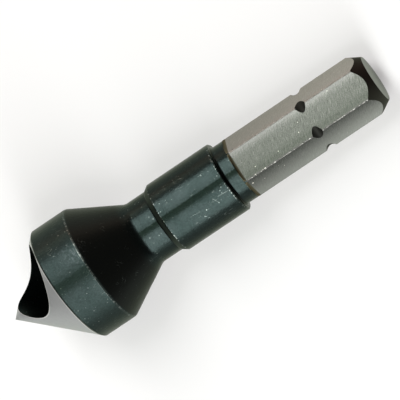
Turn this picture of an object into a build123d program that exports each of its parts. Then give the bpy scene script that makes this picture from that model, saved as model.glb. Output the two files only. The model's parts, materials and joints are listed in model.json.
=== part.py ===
from build123d import *
from math import atan, cos, pi, radians, sin, tan
import os

os.makedirs("parts", exist_ok=True)

# A countersink bit turned from one bar of tool steel: a 90 degree point with one
# oblique hole for its flute, a head, a slim neck, a collar and a quarter-inch hex shank.
# Lengths run from the sharp tip towards the shank. Millimetres and degrees.

# Head
head_diameter = 14.0
point_angle = 90.0
head_end = 11.4
back_cone_half_angle = 29.0
edge_break = 0.12

# Flute hole, drilled nearly square to the flank of the point
flute_diameter = 8.1
flute_slant = 43.0
flute_crossing = 8.1
flute_side_shift = 0.4
flute_turn = 33.0

# Relief: the point is ground about an axis that leans towards the cutting edge, with a cone
# that much slimmer, so that it has the full point angle at the edge alone
relief_lean = 1.45

# Neck and collar
neck_diameter = 7.5
neck_fillet = 1.2
collar_start = 19.85
collar_diameter = 8.4
collar_chamfer_length = 0.65
collar_end = 28.55

# Hex shank
overall_length = 47.8
hex_across_flats = 6.35
hex_bar_diameter = 7.25
shank_neck_diameter = 7.2
shank_neck_end = 30.15
wheel_corner_radius = 0.3
groove_from_end = 8.1
groove_bottom_diameter = 6.6
groove_arc_radius = 0.8
end_face_diameter = 5.5
end_chamfer_angle = 30.0

# Radii and lengths that follow from the driving sizes
head_radius = head_diameter / 2
neck_radius = neck_diameter / 2
collar_radius = collar_diameter / 2
bar_radius = hex_bar_diameter / 2
shank_neck_radius = shank_neck_diameter / 2
flat_height = hex_across_flats / 2
end_radius = end_face_diameter / 2
flute_radius = flute_diameter / 2
ground_length = head_radius / tan(radians(point_angle / 2 - relief_lean))
neck_start = head_end + (head_radius - neck_radius) / tan(radians(back_cone_half_angle))
collar_shoulder = collar_radius - shank_neck_radius
collar_full = collar_start + collar_chamfer_length
flat_end = overall_length - (flat_height - end_radius) / tan(radians(end_chamfer_angle))

# Direction of the flute hole in the tool's own axes: along, sideways and up
slant = radians(flute_slant)
turn = radians(flute_turn)
flute_direction = Vector(-cos(slant), sin(slant) * sin(turn), sin(slant) * cos(turn))
flute_centre = Vector(flute_crossing, flute_side_shift * cos(turn), -flute_side_shift * sin(turn))

# The bit lies on one hex flat and on the rear rim of its head. The flute hole comes out
# through that rim from below, so what touches is the lowest point that the hole leaves.
rim_distance = head_end - edge_break
rim_samples = 1440
rim_turns = [2 * pi * sample / rim_samples for sample in range(rim_samples)]
rim = [Vector(rim_distance, head_radius * sin(a), -head_radius * cos(a)) for a in rim_turns]
rim_left = [point for point in rim if (point - flute_centre).cross(flute_direction).length > flute_radius]
belly = min(rim_left, key=lambda point: point.Z)
rest_slope = atan((-belly.Z - flat_height) / (flat_end - belly.X))

# The tool's own frame, laid at rest: its axis falls towards the shank by the rest slope
tip_height = belly.X * sin(rest_slope) - belly.Z * cos(rest_slope)
rest_length = overall_length * cos(rest_slope) + end_radius * sin(rest_slope)
tip = Vector(-rest_length / 2, 0, tip_height)
along = Vector(cos(rest_slope), 0, -sin(rest_slope))
side = Vector(0, 1, 0)
up = along.cross(side)
tool_axis = Axis(tip, along)


def placed(direction):
    """Turn a direction given along, sideways and up into the resting frame."""
    return along * direction.X + side * direction.Y + up * direction.Z


def axial_plane(around):
    """The plane through the tool's axis whose Y points outwards, turned from straight up."""
    outwards = placed(Vector(0, sin(radians(around)), cos(radians(around))))
    return Plane(origin=tip, x_dir=along, z_dir=along.cross(outwards))


with BuildPart() as countersink_bit:
    # Turned blank: head with its back cone, neck, collar and the bar of the shank
    with BuildSketch(axial_plane(0)) as blank:
        with BuildLine():
            Polyline(
                (0, 0),
                (0, head_radius),
                (head_end, head_radius),
                (neck_start, neck_radius),
                (collar_start, neck_radius),
                (collar_full, collar_radius),
                (collar_end, collar_radius),
                (collar_end, shank_neck_radius),
                (shank_neck_end, shank_neck_radius),
                (shank_neck_end, bar_radius),
                (overall_length, bar_radius),
                (overall_length, 0),
                close=True,
            )
        make_face()
        head_corner = blank.vertices().filter_by_position(Axis.X, head_end, head_end)
        chamfer(head_corner, length=edge_break)
        neck_corner = blank.vertices().filter_by_position(Axis.X, neck_start, neck_start)
        fillet(neck_corner, radius=neck_fillet)
        shoulder = blank.vertices().filter_by_position(Axis.X, collar_end, collar_end).sort_by(Axis.Y)
        chamfer(shoulder[-1], length=collar_shoulder / 5)
        fillet(shoulder[0], radius=collar_shoulder / 2)
    revolve(axis=tool_axis)

    # Point, ground with relief: everything in front of a cone whose axis leans towards
    # the cutting edge, so that the land behind the edge falls away from the work
    lean = radians(relief_lean)
    relief_axis = Axis(tip, placed(Vector(cos(lean), sin(lean) * sin(turn), sin(lean) * cos(turn))))
    across_lean = placed(Vector(0, cos(turn), -sin(turn)))
    with BuildSketch(Plane(origin=tip, x_dir=relief_axis.direction, z_dir=across_lean)) as swarf:
        with BuildLine():
            Polyline(
                (0, 0),
                (2 * ground_length, 2 * head_radius),
                (-ground_length, 2 * head_radius),
                (-ground_length, 0),
                close=True,
            )
        make_face()
    revolve(axis=relief_axis, mode=Mode.SUBTRACT)

    # Flute: one oblique hole, from the flank of the point out through the back cone
    flute_plane = Plane(origin=tip + placed(flute_centre), z_dir=placed(flute_direction))
    with Locations(flute_plane.location):
        Hole(radius=flute_radius)

    # Six flats, ground with a wheel whose rounded corner leaves a run-out at the neck
    for around in range(0, 360, 60):
        with BuildSketch(axial_plane(around)) as wheel:
            with Locations((shank_neck_end, flat_height)):
                Rectangle(overall_length, bar_radius, align=(Align.MIN, Align.MIN))
            fillet(wheel.vertices().group_by(Axis.X)[0].sort_by(Axis.Y)[0], radius=wheel_corner_radius)
        extrude(amount=bar_radius, both=True, mode=Mode.SUBTRACT)

    # Detent groove, shallow enough to nick only the six corners
    groove_distance = overall_length - groove_from_end
    with BuildSketch(axial_plane(0)) as groove:
        with Locations((groove_distance, groove_bottom_diameter / 2 + groove_arc_radius)):
            Circle(groove_arc_radius)
    revolve(axis=tool_axis, mode=Mode.SUBTRACT)

    # Lead-in chamfer at the end of the shank
    lead_rise = bar_radius - end_radius
    lead_run = lead_rise / tan(radians(end_chamfer_angle))
    with BuildSketch(axial_plane(0)) as lead_in:
        with BuildLine():
            Polyline(
                (overall_length, end_radius),
                (overall_length - 2 * lead_run, end_radius + 2 * lead_rise),
                (overall_length, end_radius + 2 * lead_rise),
                close=True,
            )
        make_face()
    revolve(axis=tool_axis, mode=Mode.SUBTRACT)

countersink_bit.part.label = "countersink_bit"
export_step(countersink_bit.part, "parts/countersink_bit.step")
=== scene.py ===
import json
import math

import bmesh
import bpy
from mathutils import Matrix, Quaternion, Vector

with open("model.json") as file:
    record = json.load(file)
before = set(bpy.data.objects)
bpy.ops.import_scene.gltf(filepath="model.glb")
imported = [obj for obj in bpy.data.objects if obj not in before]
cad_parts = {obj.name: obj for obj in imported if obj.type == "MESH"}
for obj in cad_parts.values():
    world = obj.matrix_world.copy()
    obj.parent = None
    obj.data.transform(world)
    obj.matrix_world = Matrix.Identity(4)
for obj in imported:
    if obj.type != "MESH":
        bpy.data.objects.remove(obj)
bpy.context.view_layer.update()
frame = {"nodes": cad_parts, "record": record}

# ---------------------------------------------------------------------------------------
# Countersink bit
# One bar of tool steel, turned to a head, a neck and a collar, cross-drilled for the
# flute, and blackened in hot oxide. The point and the six flats are ground after that.
# ---------------------------------------------------------------------------------------
bit = frame["nodes"]["countersink_bit"]

# Places on the bit are in mm: x runs from its sharp tip to the shank's end, y goes across
# it and z up. Blender's own units are metres
mm_per_m = 1000
bit_length = 47.8
shank_end = next(m for m in frame["record"]["mounts"] if m["name"] == "shank_end")
along = Vector(shank_end["axis"])
tip = Vector(shank_end["pos_m"]) - along * bit_length / mm_per_m
rest_slope = math.asin(-along.z)


def add(tree, kind, inputs=None, **settings):
    """Add a shader node. Its inputs are given as constants or as sockets to link."""
    node = tree.nodes.new(kind)
    for name, value in settings.items():
        setattr(node, name, value)
    for key, value in (inputs or {}).items():
        if isinstance(value, bpy.types.NodeSocket):
            tree.links.new(value, node.inputs[key])
        else:
            node.inputs[key].default_value = value
    return node


def calc(tree, operation, *values):
    """One sum of two numbers, or a function of one."""
    return add(tree, "ShaderNodeMath", dict(enumerate(values)), operation=operation).outputs[0]


def product(tree, first, *others):
    """All the numbers multiplied."""
    for other in others:
        first = calc(tree, "MULTIPLY", first, other)
    return first


def largest(tree, first, *others):
    """The largest of the numbers."""
    for other in others:
        first = calc(tree, "MAXIMUM", first, other)
    return first


def vector_calc(tree, operation, first, second=(0, 0, 0)):
    """One sum of two vectors, or the length of one, as a number or a vector."""
    node = add(tree, "ShaderNodeVectorMath", {0: first, 1: second}, operation=operation)
    gives_number = operation in ("LENGTH", "DISTANCE", "DOT_PRODUCT")
    return node.outputs["Value" if gives_number else "Vector"]


def scaled(tree, vector, factor):
    """A vector or a colour times a number."""
    inputs = {0: vector, "Scale": factor}
    return add(tree, "ShaderNodeVectorMath", inputs, operation="SCALE").outputs[0]


def fade(tree, value, start, end, low=0.0, high=1.0):
    """low before start, high after end, smooth between; start may lie above end."""
    inputs = {"Value": value, "From Min": start, "From Max": end, "To Min": low, "To Max": high}
    return add(tree, "ShaderNodeMapRange", inputs, interpolation_type="SMOOTHSTEP").outputs[0]


def between(tree, value, low, high, soft):
    """1 from low to high, falling to 0 over a distance of soft outside them."""
    return product(tree, fade(tree, value, low - soft, low), fade(tree, value, high + soft, high))


def pick(tree, factor, first, second):
    """Mix two numbers."""
    return add(tree, "ShaderNodeMix", {0: factor, 2: first, 3: second}).outputs[0]


def blend(tree, factor, first, second, strength=1.0):
    """Mix two colours, each a socket or red, green and blue. strength thins the second one."""
    if strength != 1.0:
        factor = product(tree, factor, strength)
    first, second = (color if isinstance(color, bpy.types.NodeSocket) else (*color, 1.0)
                     for color in (first, second))
    inputs = {0: factor, 6: first, 7: second}
    return add(tree, "ShaderNodeMix", inputs, data_type="RGBA").outputs[2]


def grain(tree, place, cell, seed, detail=2.0, roughness=0.5):
    """Noise of 0 to 1 whose cells have the three sizes given in mm."""
    stretched = add(tree, "ShaderNodeMapping", {"Vector": place, "Scale": [1 / c for c in cell]})
    inputs = {"Vector": stretched.outputs[0], "W": seed, "Scale": 1.0,
              "Detail": detail, "Roughness": roughness}
    return add(tree, "ShaderNodeTexNoise", inputs, noise_dimensions="4D").outputs[0]


def specks(tree, place, cell, share, size, seed):
    """Specks scattered at random. A share of the cells holds one, of a radius up to size."""
    inputs = {"Vector": place, "Location": (seed, 0, 0), "Scale": (1 / cell,) * 3}
    moved = add(tree, "ShaderNodeMapping", inputs).outputs[0]
    cells = add(tree, "ShaderNodeTexVoronoi", {"Vector": moved, "Scale": 1.0})
    draws = add(tree, "ShaderNodeSeparateColor", {0: cells.outputs["Color"]})
    radius = product(tree, draws.outputs[1], size / cell)
    inside = fade(tree, calc(tree, "DIVIDE", cells.outputs["Distance"], radius), 1.0, 0.6)
    return product(tree, inside, fade(tree, draws.outputs[0], share, share * 0.98))


def spot(tree, place, centre, radius):
    """1 about a point of the bit, falling to 0 at the radius from it."""
    gap = vector_calc(tree, "DISTANCE", place, centre)
    return fade(tree, gap, radius, radius * 0.6)


def hairline(tree, place, start, end, width):
    """1 along a straight line between two points of the bit, falling to 0 at width from it."""
    run = Vector(end) - Vector(start)
    offset = vector_calc(tree, "SUBTRACT", place, start)
    share = vector_calc(tree, "DOT_PRODUCT", offset, run / run.length_squared)
    nearest = scaled(tree, run, add(tree, "ShaderNodeClamp", {0: share}).outputs[0])
    gap = vector_calc(tree, "DISTANCE", offset, nearest)
    return fade(tree, gap, width, width * 0.5)


class Place:
    """Where a point of the surface lies: along the bit, on a flat, and off the flute's axis."""

    flute_crossing = (8.1, 0.3355, -0.2179)
    flute_direction = (-0.7314, 0.3714, 0.5720)
    flat_turn = math.radians(60)
    whole_turn = math.radians(360)

    def __init__(self, tree):
        position = add(tree, "ShaderNodeTexCoord").outputs["Object"]
        inputs = {"Vector": position, "Location": tip, "Rotation": (0, rest_slope, 0),
                  "Scale": (1 / mm_per_m,) * 3}
        self.vector = add(tree, "ShaderNodeMapping", inputs, vector_type="TEXTURE").outputs[0]
        self.x, self.y, self.z = add(tree, "ShaderNodeSeparateXYZ", {0: self.vector}).outputs
        squares = [calc(tree, "POWER", side, 2.0) for side in (self.y, self.z)]
        self.radius = calc(tree, "POWER", calc(tree, "ADD", *squares), 0.5)

        # Flats are counted about the axis from the one that looks up, which has number 6
        angle = calc(tree, "ARCTAN2", self.y, self.z)
        turned = calc(tree, "ADD", angle, self.whole_turn + self.flat_turn / 2)
        on_this_flat = calc(tree, "MODULO", turned, self.flat_turn)
        folded = calc(tree, "SUBTRACT", on_this_flat, self.flat_turn / 2)
        self.flat_height = product(tree, self.radius, calc(tree, "COSINE", folded))
        self.flat_across = product(tree, self.radius, calc(tree, "SINE", folded))
        self.flat_number = calc(tree, "FLOOR", calc(tree, "DIVIDE", turned, self.flat_turn))

        offset = vector_calc(tree, "SUBTRACT", self.vector, self.flute_crossing)
        cross = vector_calc(tree, "CROSS_PRODUCT", offset, self.flute_direction)
        self.flute_distance = vector_calc(tree, "LENGTH", cross)


steel = bpy.data.materials.new("blackened_tool_steel")
steel.use_nodes = True
tree = steel.node_tree
tree.nodes.clear()
place = Place(tree)

# Black oxide: a dark satin, cloudy from the bath, finely mottled and paler on the head
oxide_dark, oxide_pale = (0.0118, 0.0192, 0.0175), (0.0180, 0.0240, 0.0235)
head_side, collar_side = 12.0, 19.0
cloud = grain(tree, place.vector, cell=(2.2, 2.2, 2.2), seed=1.0, detail=3.0)
mottle = grain(tree, place.vector, cell=(0.22, 0.16, 0.16), seed=29.0)
oxide_tone = product(tree, fade(tree, mottle, 0.3, 0.7, low=0.84, high=1.16),
                     fade(tree, place.x, head_side, collar_side, low=1.16, high=0.93))
black = scaled(tree, blend(tree, cloud, oxide_dark, oxide_pale), oxide_tone)
black_roughness = calc(tree, "ADD", fade(tree, cloud, 0.2, 0.8, low=0.29, high=0.24),
                       fade(tree, place.x, collar_side, head_side, low=0.0, high=0.06))

# The back cone is a plainer, duller black than the straight faces
cone_black, cone_roughness = (0.0135, 0.0155, 0.0142), 0.38
head_end, neck_start, neck_radius = 11.4, 17.5, 3.75
on_cone = product(tree, fade(tree, place.x, head_end + 0.05, head_end + 0.20),
                  fade(tree, place.x, neck_start + 1.0, neck_start),
                  fade(tree, place.radius, neck_radius + 0.05, neck_radius + 0.65))
black = blend(tree, on_cone, black, cone_black)

# Pale specks all over it, and more of them in patches, but few on the back cone
clusters = grain(tree, place.vector, cell=(1.8, 1.4, 1.4), seed=4.0)
rubbed = spot(tree, place.vector, centre=(10.9, 1.9, 6.7), radius=1.7)
collar_front_spot = spot(tree, place.vector, centre=(22.0, 1.8, 3.8), radius=1.9)
collar_back_spot = spot(tree, place.vector, centre=(26.6, -1.7, 3.8), radius=1.7)
patches = largest(tree, fade(tree, clusters, 0.44, 0.60), product(tree, rubbed, 0.6),
                  collar_front_spot, product(tree, collar_back_spot, 0.3))
large_specks = specks(tree, place.vector, cell=0.5, share=0.36, size=0.10, seed=3.0)
small_specks = specks(tree, place.vector, cell=0.28, share=0.6, size=0.08, seed=11.0)
pale_specks = product(tree, largest(tree, large_specks, product(tree, small_specks, patches)),
                      pick(tree, on_cone, 1.0, 0.2))

# Hairline scratches along it, and two deeper ones at the back of the collar
hair = grain(tree, place.vector, cell=(2.6, 0.5, 0.5), seed=8.0, detail=1.0)
hair_patches = grain(tree, place.vector, cell=(1.3, 1.3, 1.3), seed=9.0)
hairs = product(tree, between(tree, hair, 0.553, 0.556, soft=0.006),
                fade(tree, hair_patches, 0.56, 0.66))
long_scratch = hairline(tree, place.vector, start=(26.97, -1.52, 3.91), end=(28.25, -1.60, 3.88),
                        width=0.045)
short_scratch = hairline(tree, place.vector, start=(26.35, -1.45, 3.94), end=(26.62, -1.98, 3.70),
                         width=0.045)
skips = grain(tree, place.vector, cell=(0.2, 0.2, 0.2), seed=27.0)
scratches = product(tree, largest(tree, long_scratch, short_scratch),
                    fade(tree, skips, 0.35, 0.60, low=0.15, high=0.6))

# Worn and bright places on the turned edges
head_radius, edge_soft = 7.0, 0.04
collar_front, collar_back, collar_radius = 20.50, 28.43, 4.2
flaking = grain(tree, place.vector, cell=(0.4, 0.25, 0.25), seed=2.0, detail=3.0)
chips = fade(tree, flaking, 0.50, 0.62)
head_rim = product(tree, between(tree, place.x, head_end - 0.13, head_end + 0.02, edge_soft),
                   fade(tree, place.radius, head_radius - 0.20, head_radius - 0.14))
front_rim = between(tree, place.x, collar_front - 0.04, collar_front + 0.06, edge_soft)
back_rim = between(tree, place.x, collar_back - 0.05, collar_back + 0.05, edge_soft)
collar_rims = product(tree, largest(tree, front_rim, back_rim),
                      fade(tree, place.radius, collar_radius - 0.15, collar_radius - 0.08))
head_rim_wear = product(tree, fade(tree, chips, 0.0, 1.0, low=0.16, high=1.0),
                        fade(tree, rubbed, 0.0, 0.6, low=0.6, high=2.2))
worn_rims = largest(tree, product(tree, head_rim, head_rim_wear),
                    product(tree, collar_rims, chips, 0.8))

# The wear laid on the oxide: specks and scratches, the haze of the rubbed patch, the rims
speck_grey, haze_grey, rim_grey = (0.115, 0.135, 0.125), (0.10, 0.12, 0.12), (0.22, 0.25, 0.23)
rubbing = grain(tree, place.vector, cell=(0.22, 0.30, 0.30), seed=23.0, detail=3.0)
haze = product(tree, rubbed, fade(tree, rubbing, 0.46, 0.80))
black = blend(tree, largest(tree, pale_specks, hairs, scratches), black, speck_grey, 0.75)
black = blend(tree, haze, black, haze_grey, 0.33)
black = blend(tree, worn_rims, black, rim_grey, 0.7)

# A ragged dark line in front of the collar, and painted shade in the fillet behind it
corner_black = (0.004, 0.004, 0.004)
collar_start, collar_end = 19.85, 28.55
raggedness = grain(tree, place.vector, cell=(0.4, 0.25, 0.25), seed=6.0, detail=3.0)
ragged_x = calc(tree, "ADD", place.x, product(tree, calc(tree, "SUBTRACT", raggedness, 0.5), 0.5))
front_dark_line = between(tree, ragged_x, collar_start - 0.07, collar_start + 0.05, soft=0.08)
# Painted shade: the fillet at the back of the collar is darkened to near black
back_fillet_shade = product(tree, between(tree, place.x, collar_end + 0.01, collar_end + 0.17, edge_soft),
                    fade(tree, place.radius, collar_radius - 0.08, collar_radius - 0.18))
black = blend(tree, largest(tree, product(tree, front_dark_line, 0.2), back_fillet_shade), black, corner_black, 0.8)

# Chamfers, rougher from the tool: a greener one in front of the collar, and one at the
# shank's end, cut below the bar's skin, with a painted reflection: warm brown on the side of y,
# lighter green on the other side
front_green = (0.048, 0.062, 0.048)
end_warm_reflection, end_green_reflection = (0.022, 0.017, 0.014), (0.040, 0.041, 0.032)
chamfer_roughness = 0.55
bar_radius, end_chamfer_start = 3.625, 46.15
below_skin = fade(tree, place.radius, bar_radius - 0.015, bar_radius - 0.045)
front_chamfer = product(
    tree, between(tree, ragged_x, collar_start + 0.05, collar_front - 0.08, soft=0.05),
    fade(tree, place.radius, neck_radius + 0.03, neck_radius + 0.09))
end_chamfer = product(tree, fade(tree, place.x, end_chamfer_start, end_chamfer_start + 0.15),
                      below_skin)
# Painted reflection on the end chamfer: brown on the side of y, lighter green on the other side
end_painted_reflection = blend(tree, fade(tree, place.y, 0.5, -2.2), end_warm_reflection, end_green_reflection)
black = blend(tree, front_chamfer, black, front_green, 0.8)
black = blend(tree, end_chamfer, black, end_painted_reflection)
black_roughness = pick(tree, largest(tree, front_chamfer, end_chamfer),
                       black_roughness, chamfer_roughness)
black_roughness = pick(tree, on_cone, black_roughness, cone_roughness)

# The detent nicks keep a dull brown-black skin
nick_black, nick_roughness = (0.026, 0.027, 0.024), 0.6
groove_middle, groove_reach = 39.7, 0.8
in_groove = between(tree, place.x, groove_middle - groove_reach, groove_middle + groove_reach,
                    soft=0.05)
nicks = product(tree, in_groove, below_skin)
black = blend(tree, nicks, black, nick_black)
black_roughness = pick(tree, nicks, black_roughness, nick_roughness)

# Point, ground bright after blackening; a dark margin is left along the head's corner
land_dark, land_pale, land_highlight_white = (0.405, 0.415, 0.42), (0.465, 0.475, 0.485), (0.80, 0.80, 0.78)
flute_radius, point_end = 4.05, 7.8
off_flute = fade(tree, place.flute_distance, flute_radius + 0.003, flute_radius + 0.015)
land = product(tree, off_flute, fade(tree, place.x, point_end + 0.1, point_end),
               fade(tree, place.radius, head_radius - 0.15, head_radius - 0.19))
# Painted highlights: pale lines along the flute's rim and along the land's outer edge
land_rim_highlight = largest(
    tree, fade(tree, place.flute_distance, flute_radius + 0.12, flute_radius + 0.07),
    fade(tree, place.radius, head_radius - 0.30, head_radius - 0.24))
land_grain = grain(tree, place.vector, cell=(0.3, 0.3, 0.3), seed=5.0)
land_shade = blend(tree, land_grain, land_dark, land_pale)
land_shade = blend(tree, land_rim_highlight, land_shade, land_highlight_white, 0.7)

# Flats, each ground in its own pass across the bar. Each is painted a brightness and tint of
# its own for the light it catches at rest. The list starts with the one that looks up and turns
# towards y. The fourth number leans painted shade across the flat, with 0.5 for an even one
hex_start, flat_height = 30.15, 3.175
flat_lit_tones = [
    (0.125, 0.128, 0.118, 0.5),
    (0.284, 0.268, 0.243, 0.5),
    (0.190, 0.190, 0.180, 0.6),
    (0.210, 0.205, 0.190, 0.4),
    (0.230, 0.215, 0.190, 0.5),
    (0.172, 0.180, 0.165, 0.1),
]
flat_count = len(flat_lit_tones)
on_flat = product(
    tree, between(tree, place.flat_height, flat_height - 0.003, flat_height + 0.003, soft=0.007),
    fade(tree, place.x, hex_start - 0.10, hex_start))
place_in_list = calc(tree, "MODULO", place.flat_number, flat_count)
this_flat = add(tree, "ShaderNodeValToRGB", {0: calc(tree, "DIVIDE", place_in_list, flat_count)})
stops = this_flat.color_ramp.elements
this_flat.color_ramp.interpolation = "CONSTANT"
for number, flat_color in enumerate(flat_lit_tones):
    stop = stops[number] if number < len(stops) else stops.new(1.0)
    stop.position = max(0.0, (number - 0.5) / flat_count)
    stop.color = flat_color

# Grinding marks: fine streaks that lean a little across the flat, pits, and deeper cuts.
# They are strong on the flat that looks up and weaker on the others
upper_flat, weaker = 6, 0.45
streak_lean, flat_spacing = 0.4, 7.0
leaning_x = calc(tree, "SUBTRACT", place.x, product(tree, place.flat_across, streak_lean))
flat_place = add(tree, "ShaderNodeCombineXYZ", {
    0: leaning_x, 1: place.flat_across, 2: product(tree, place.flat_number, flat_spacing),
}).outputs[0]
streaks = grain(tree, flat_place, cell=(0.075, 0.8, 1.0), seed=7.0, detail=3.0, roughness=0.7)
pits = grain(tree, flat_place, cell=(0.10, 0.12, 1.0), seed=12.0)
cuts = grain(tree, flat_place, cell=(0.07, 0.80, 1.0), seed=17.0, detail=1.0)
marks = calc(tree, "ADD", fade(tree, streaks, 0.25, 0.75, low=0.60, high=1.38),
             fade(tree, pits, 0.3, 0.7, low=-0.22, high=0.22))
marks = calc(tree, "ADD", marks, product(tree, fade(tree, cuts, 0.60, 0.72), 0.7))
on_upper_flat = between(tree, place.flat_number, upper_flat - 0.2, upper_flat + 0.2, soft=0.1)
marks = pick(tree, on_upper_flat, pick(tree, weaker, 1.0, marks), marks)
# Painted shade leaning across each flat, by the fourth number of its entry
flat_painted_lean = product(tree, calc(tree, "SUBTRACT", this_flat.outputs["Alpha"], 0.5),
                    place.flat_across, 0.9)
# Marks and painted light together; the flats are painted lighter towards the shank's end
flat_marks_and_light = product(tree, calc(tree, "ADD", marks, flat_painted_lean),
                    fade(tree, place.x, hex_start - 1.15, bit_length - 0.8, low=0.88, high=1.14))
flat_color_and_light = scaled(tree, this_flat.outputs["Color"], flat_marks_and_light)

# Broken glints along the flats' corners on the side away from y, pale specks, small bright
# dents beside that edge of the upper flat, and one dark pit beside its other edge
flat_half_width = 1.75
glint_grey, speck_white = (0.50, 0.50, 0.48), (0.80, 0.78, 0.70)
dent_white, pit_brown = (0.85, 0.83, 0.74), (0.03, 0.02, 0.02)
flat_corner = fade(tree, calc(tree, "ABSOLUTE", place.flat_across),
                   flat_half_width - 0.01, flat_half_width + 0.04)
broken = grain(tree, flat_place, cell=(0.22, 5.0, 1.0), seed=14.0)
corner_glint = product(tree, flat_corner, fade(tree, broken, 0.42, 0.56),
                       fade(tree, place.y, 0.5, -0.5))
flat_specks = specks(tree, place.vector, cell=0.5, share=0.30, size=0.065, seed=22.0)
dents = largest(tree, spot(tree, place.vector, centre=(31.60, -1.80, 3.15), radius=0.13),
                spot(tree, place.vector, centre=(32.85, -1.80, 3.15), radius=0.13),
                spot(tree, place.vector, centre=(30.74, -2.29, 2.39), radius=0.11))
dark_pit = spot(tree, place.vector, centre=(30.95, 1.95, 3.05), radius=0.13)
flat_color_and_light = blend(tree, corner_glint, flat_color_and_light, glint_grey, 0.4)
flat_color_and_light = blend(tree, flat_specks, flat_color_and_light, speck_white)
flat_color_and_light = blend(tree, dents, flat_color_and_light, dent_white)
flat_color_and_light = blend(tree, dark_pit, flat_color_and_light, pit_brown)

# The bar's own skin is left as a narrow strip between two flats. It is rubbed pale in
# broken places, which also stand as painted glints, and it is painted lit on the side of y
# and shaded on the other side
shaded_side_strip, shaded_side_glint = (0.075, 0.075, 0.07), (0.30, 0.30, 0.28)
lit_side_strip, lit_side_glint = (0.23, 0.22, 0.20), (0.36, 0.35, 0.33)
strips = product(tree, fade(tree, place.radius, bar_radius - 0.035, bar_radius - 0.020),
                 fade(tree, place.x, hex_start + 0.20, hex_start + 0.35))
strip_grain = grain(tree, place.vector, cell=(0.25, 0.6, 0.6), seed=19.0)
strip_glints = fade(tree, strip_grain, 0.47, 0.66)
# Painted light and shade: the strip is lighter on the side of y than on the other side
strip_lit_and_shaded = blend(tree, fade(tree, place.y, -0.5, 0.5),
                    blend(tree, strip_glints, shaded_side_strip, shaded_side_glint),
                    blend(tree, strip_glints, lit_side_strip, lit_side_glint))

# Where the wheel ran out at the neck, a straw to brown heat tint
heat_tint, heat_roughness = (0.115, 0.105, 0.065), 0.65
run_out = product(
    tree, between(tree, place.x, hex_start - 0.03, hex_start + 0.27, soft=0.03),
    between(tree, place.flat_height, flat_height + 0.005, flat_height + 0.375, soft=0.01))

# All the finishes together, and a plain turned end face
end_face_grey, bright_roughness = (0.22, 0.23, 0.21), 0.42
end_face = fade(tree, place.x, bit_length - 0.03, bit_length - 0.01)
color = blend(tree, strips, black, strip_lit_and_shaded)
color = blend(tree, run_out, color, heat_tint)
color = blend(tree, on_flat, color, flat_color_and_light)
color = blend(tree, land, color, land_shade)
color = blend(tree, end_face, color, end_face_grey)
roughness = pick(tree, on_flat, black_roughness,
                 fade(tree, streaks, 0.3, 0.7, low=0.30, high=0.38))
roughness = pick(tree, largest(tree, land, end_face, strips), roughness, bright_roughness)
roughness = pick(tree, run_out, roughness, heat_roughness)

# The edges are broken, more on the turned forms than on the hex. The flats fall off a
# little towards their corners and are streaked by the wheel, and the oxide is slightly uneven
turned_break, hex_break = 0.08 / mm_per_m, 0.03 / mm_per_m
corner_fall, streak_height, oxide_height = 0.07, 0.004, 0.012
sharp_half_side = 1.833
edge_break = fade(tree, place.x, hex_start - 0.15, hex_start + 0.45,
                  low=turned_break, high=hex_break)
rounded = add(tree, "ShaderNodeBevel", {"Radius": edge_break}, samples=6)
crown = calc(tree, "POWER", calc(tree, "DIVIDE", place.flat_across, sharp_half_side), 4.0)
flat_relief = calc(tree, "ADD", product(tree, crown, -corner_fall),
                   product(tree, streaks, streak_height))
oxide_grain = grain(tree, place.vector, cell=(0.5, 0.30, 0.30), seed=25.0, detail=3.0)
relief = pick(tree, on_flat, product(tree, oxide_grain, oxide_height), flat_relief)
bumped = add(tree, "ShaderNodeBump", {
    "Height": relief, "Distance": 1 / mm_per_m, "Normal": rounded.outputs[0],
})

grazing_tint = (0.74, 0.78, 0.70, 1.0)
shader = add(tree, "ShaderNodeBsdfPrincipled", {
    "Base Color": color, "Roughness": roughness, "Metallic": 1.0,
    "Specular Tint": grazing_tint, "Normal": bumped.outputs[0],
})
add(tree, "ShaderNodeOutputMaterial", {"Surface": shader.outputs[0]})
bit.data.materials.clear()
bit.data.materials.append(steel)

# ---------------------------------------------------------------------------------------
# Table top
# A plain board, painted pale and matt, on which the bit lies loose. It is 3 m wide, so that
# its edges stay outside the views from above.
# ---------------------------------------------------------------------------------------
board_half_width = 1.5
board_grey, board_roughness, board_glow = 0.60, 0.9, 0.345
board = bpy.data.meshes.new("board")
sheet = bmesh.new()
bmesh.ops.create_grid(sheet, x_segments=1, y_segments=1, size=board_half_width)
sheet.to_mesh(board)
sheet.free()
floor = bpy.data.objects.new("board", board)
bpy.context.collection.objects.link(floor)

# The paint glows for the camera and in the metal's mirror alone, so that it shows white
white = bpy.data.materials.new("white_board")
white.use_nodes = True
board_tree = white.node_tree
paint = board_tree.nodes["Principled BSDF"]
paint.inputs["Base Color"].default_value = (board_grey, board_grey, board_grey, 1)
paint.inputs["Roughness"].default_value = board_roughness
ray = add(board_tree, "ShaderNodeLightPath")
seen = largest(board_tree, ray.outputs["Is Camera Ray"], ray.outputs["Is Glossy Ray"],
               ray.outputs["Is Transmission Ray"])
paint.inputs["Emission Color"].default_value = (1, 1, 1, 1)
board_tree.links.new(product(board_tree, seen, board_glow), paint.inputs["Emission Strength"])
board.materials.append(white)

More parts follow.
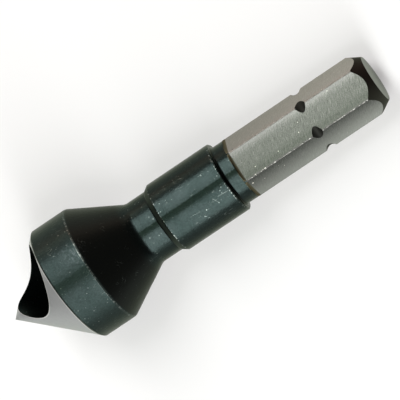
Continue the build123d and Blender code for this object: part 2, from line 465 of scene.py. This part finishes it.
# ---------------------------------------------------------------------------------------
# Camera
# A long lens, half a metre from the bit and high above it. It is turned so that the bit
# lies with its point at the lower left.
# ---------------------------------------------------------------------------------------
view_target = Vector((0.000385, -0.000377, 0.005532))
view_distance = 0.508
view_elevation = math.radians(73.243)
view_azimuth = math.radians(70.511)
view_roll = math.radians(-104.2035)
camera_data = bpy.data.cameras.new("camera")
camera_data.lens = 420.6
camera_data.sensor_width = 36.0
camera_data.clip_start = 0.01
camera = bpy.data.objects.new("camera", camera_data)
bpy.context.collection.objects.link(camera)
bpy.context.scene.camera = camera
towards = Vector((math.sin(view_azimuth) * math.cos(view_elevation),
                  -math.cos(view_azimuth) * math.cos(view_elevation),
                  math.sin(view_elevation)))
camera.location = view_target + towards * view_distance
camera.rotation_mode = "QUATERNION"
camera.rotation_quaternion = towards.to_track_quat("Z", "Y") @ Quaternion((0, 0, 1), view_roll)

# ---------------------------------------------------------------------------------------
# Studio light
# Two soft boxes, wide across the bit, hang over its two sides. A weak green fill shines
# between them, and a warm card and two small edge lamps stand low beside it.
# ---------------------------------------------------------------------------------------
lamp_distance = 0.3
over = (towards - along * towards.dot(along)).normalized()
beside = over.cross(along)


def softbox(name, around, forward, width, length, radiance, color):
    """A lamp aimed at the bit, turned in degrees about its axis and then towards its shank."""
    around = math.radians(around)
    forward = math.radians(forward)
    outwards = over * math.cos(around) + beside * math.sin(around)
    direction = outwards * math.cos(forward) + along * math.sin(forward)
    lamp_data = bpy.data.lights.new(name, "AREA")
    lamp_data.shape = "RECTANGLE"
    lamp_data.size = length
    lamp_data.size_y = width
    lamp_data.energy = radiance * math.pi * width * length
    lamp_data.color = color
    lamp = bpy.data.objects.new(name, lamp_data)
    bpy.context.collection.objects.link(lamp)
    x_axis = (along - direction * along.dot(direction)).normalized()
    y_axis = direction.cross(x_axis)
    turn = Matrix((x_axis, y_axis, direction)).transposed().to_4x4()
    lamp.matrix_world = Matrix.Translation(direction * lamp_distance) @ turn


softbox("left_softbox", 37, -8, width=0.235, length=0.07, radiance=9.8, color=(1.0, 1.0, 1.0))
softbox("right_softbox", -41, -8, width=0.365, length=0.07, radiance=9.8, color=(1.0, 1.0, 1.0))
softbox("fill_between", 3, -10, width=0.13, length=0.10, radiance=1.38, color=(0.75, 1.0, 0.71))
softbox("warm_card", 86, 8, width=0.13, length=0.36, radiance=1.35, color=(1.0, 0.68, 0.55))
softbox("left_edge", 76, -14.5, width=0.10, length=0.04, radiance=2.6, color=(0.95, 1.0, 0.9))
softbox("right_edge", -81, -14.5, width=0.07, length=0.04, radiance=4.0, color=(0.95, 1.0, 0.95))

# The room around is dim and a little warm
room_color, room_strength = (1, 0.9, 0.85, 1), 0.15
world = bpy.data.worlds.new("studio")
bpy.context.scene.world = world
world.use_nodes = True
room = world.node_tree.nodes["Background"]
room.inputs["Color"].default_value = room_color
room.inputs["Strength"].default_value = room_strength

scene = bpy.context.scene
scene.view_settings.view_transform = "Standard"
